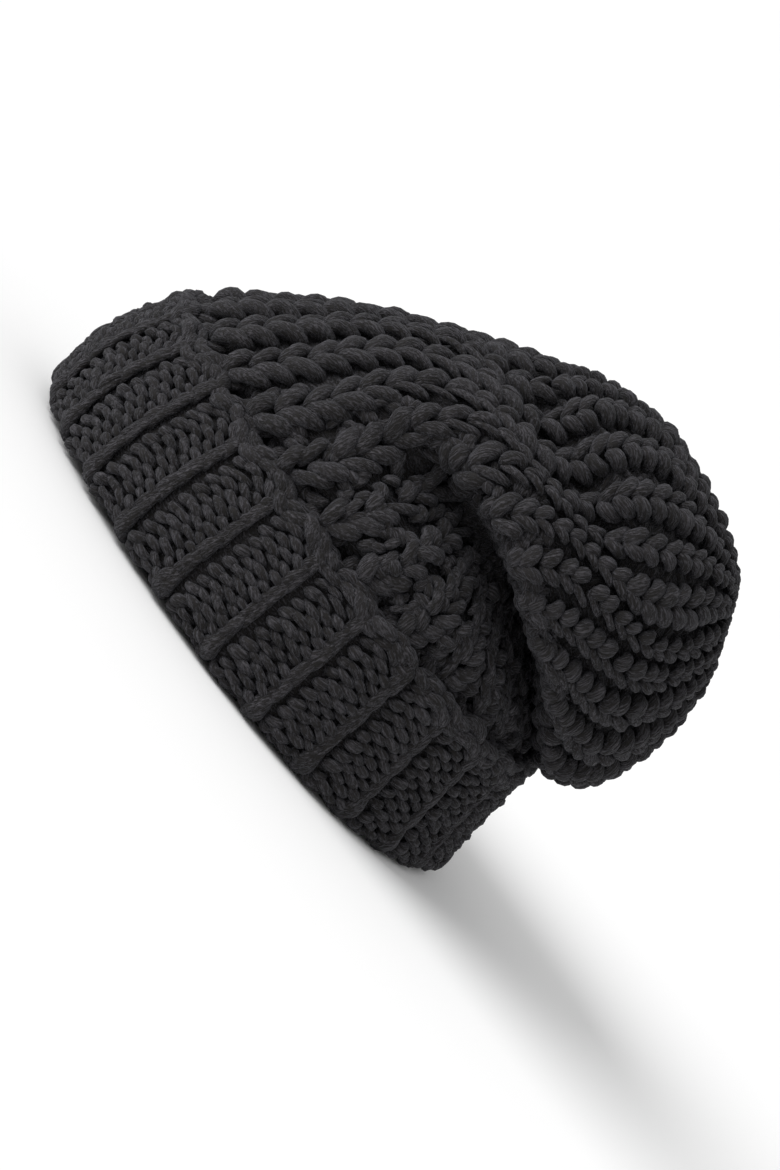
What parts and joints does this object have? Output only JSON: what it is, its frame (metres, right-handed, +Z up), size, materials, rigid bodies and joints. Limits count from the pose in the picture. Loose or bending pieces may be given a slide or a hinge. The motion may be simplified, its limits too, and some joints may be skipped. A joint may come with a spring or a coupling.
{
  "type": "ribbed beanie",
  "caption": "Black chunky ribbed knit beanie, slouched to the back, with a turned-up cuff",
  "frame": {"origin": "middle of the footprint, on the plane that the rim rests on", "axes": "+Z up along the crown's axis, forehead towards -Y, wearer's left towards +X"},
  "size_m": [0.1852, 0.2288, 0.1602],
  "materials": {
    "crown_yarn": "bulky low-twist wool and acrylic yarn, matt with a soft halo, near black",
    "cuff_yarn": "bulky low-twist wool and acrylic yarn, matt with a soft halo, near black"
  },
  "bodies": {
    "root": {"crown": "crown_yarn", "cuff": "cuff_yarn"}
  },
  "joints": []
}
